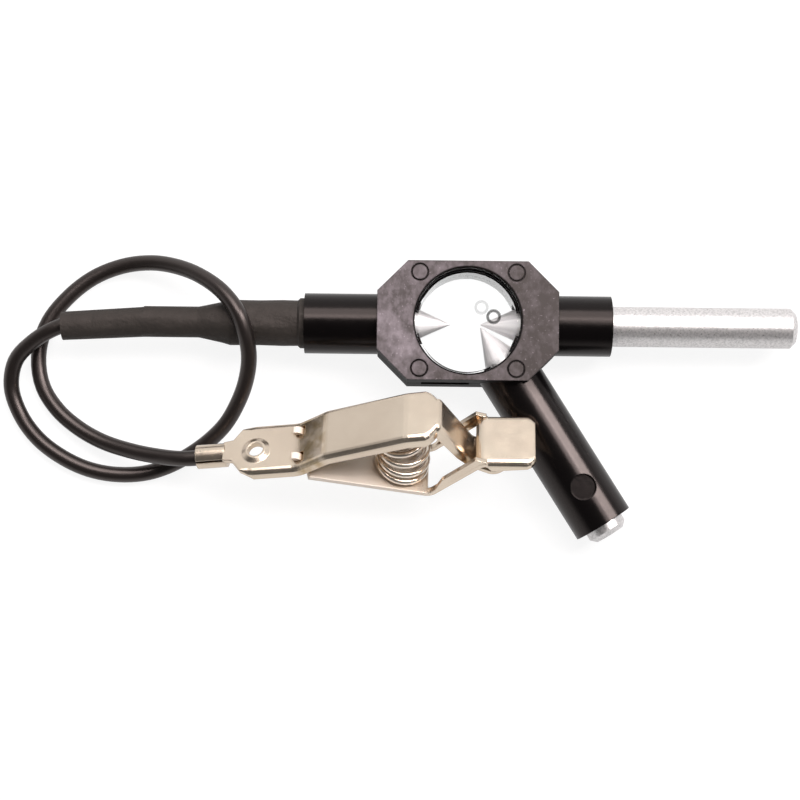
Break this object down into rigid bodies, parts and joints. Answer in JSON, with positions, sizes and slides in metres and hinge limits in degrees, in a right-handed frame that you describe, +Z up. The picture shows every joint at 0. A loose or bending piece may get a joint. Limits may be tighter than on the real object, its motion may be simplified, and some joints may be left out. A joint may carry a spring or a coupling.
{
  "type": "spark tester",
  "caption": "Ignition spark tester: octagonal housing with a clear window over pointed electrodes, two barrels in line, a slanted third barrel, and a lead with a spring clip.",
  "frame": {"origin": "under the middle of the tester without its lead and clip, on the surface its back lies on", "axes": "+X along the plug electrode towards its free end, +Z up out of the front window, +Y away from the slanted barrel"},
  "size_m": [0.1258, 0.0451, 0.0225],
  "materials": {
    "housing": "satin moulded plastic with glossy barrels",
    "window": "clear moulded plastic",
    "electrode": "turned metal",
    "sleeve": "matte shrunk tube",
    "lead": "semi-gloss insulation",
    "core": "copper strands",
    "clip": "warm nickel plate"
  },
  "bodies": {
    "tester": {"housing_front": "housing", "housing_rear": "housing", "window_front": "window", "window_rear": "window", "ground_electrode": "electrode", "plug_electrode": "electrode", "branch_electrode": "electrode", "lead_sleeve": "sleeve", "lead": "lead", "lead_core": "core", "clip_upper_arm": "clip", "clip_spring": "clip"},
    "clip_lower": {"clip_lower_arm": "clip"}
  },
  "joints": [
    {"name": "clip_squeeze", "type": "hinge", "parent": "tester", "child": "clip_lower", "pos_m": [-0.03359, -0.0075, 0.01184], "axis": [-0.0221, -0.8523, 0.5226], "range_deg": [0, 16], "stiffness_Nm_per_rad": 0.05, "springref_deg": -14.32, "deforming": ["clip_spring"]}
  ]
}
